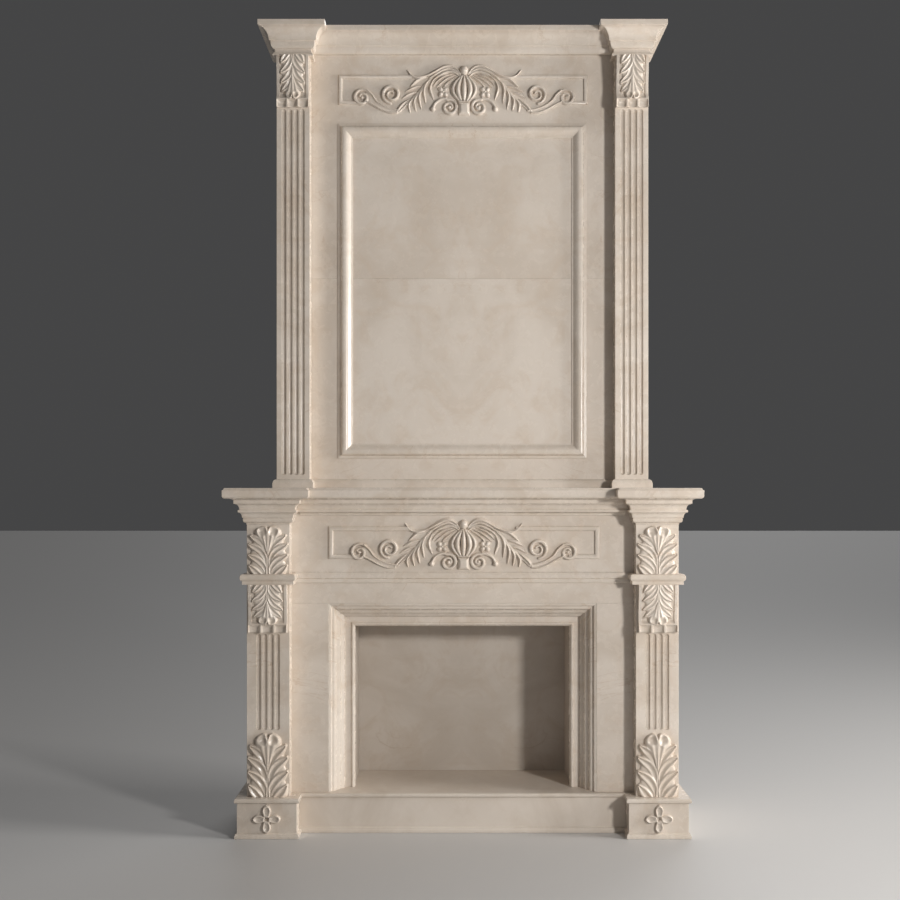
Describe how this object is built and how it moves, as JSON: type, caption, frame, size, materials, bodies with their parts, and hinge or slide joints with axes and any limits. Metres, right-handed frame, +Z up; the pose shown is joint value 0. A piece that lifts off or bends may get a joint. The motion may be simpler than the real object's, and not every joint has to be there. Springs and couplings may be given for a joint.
{
  "type": "fireplace",
  "caption": "Two-storey marble fireplace with a firebox, fluted pilasters, leaf consoles, a moulded mantel shelf and a framed overmantel under a cornice.",
  "frame": {"origin": "on the floor, under the middle of the fireplace's overall width and depth", "axes": "+Z up, +X to the viewer's right across the front, +Y from the viewer back to the wall"},
  "size_m": [1.706, 0.493, 2.954],
  "materials": {
    "marble": "polished cream marble with soft warm veins",
    "firebox_marble": "honed cream marble, a little darker"
  },
  "bodies": {
    "root": {"plinth_left": "marble", "plinth_right": "marble", "hearth": "marble", "lower_pilaster_left": "marble", "lower_pilaster_right": "marble", "lower_console_left": "marble", "lower_console_right": "marble", "necking_band_left": "marble", "necking_band_right": "marble", "leaf_block_left": "marble", "leaf_block_right": "marble", "shelf_capital_left": "marble", "shelf_capital_right": "marble", "shelf_center": "marble", "frieze_lower": "marble", "string_course": "marble", "surround_lintel": "marble", "surround_jamb_left": "marble", "surround_jamb_right": "marble", "firebox_frame_left": "marble", "firebox_frame_right": "marble", "firebox_frame_top": "marble", "firebox_back": "firebox_marble", "firebox_side_left": "firebox_marble", "firebox_side_right": "firebox_marble", "firebox_ceiling": "firebox_marble", "lower_side_left": "marble", "lower_side_right": "marble", "overmantel_base": "marble", "upper_pilaster_left": "marble", "upper_pilaster_right": "marble", "upper_console_left": "marble", "upper_console_right": "marble", "upper_capital_left": "marble", "upper_capital_right": "marble", "cornice_center": "marble", "overmantel_slab_lower": "marble", "overmantel_slab_upper": "marble", "panel_frame_left": "marble", "panel_frame_right": "marble", "panel_frame_top": "marble", "panel_frame_bottom": "marble", "upper_side_left": "marble", "upper_side_right": "marble"}
  },
  "joints": []
}
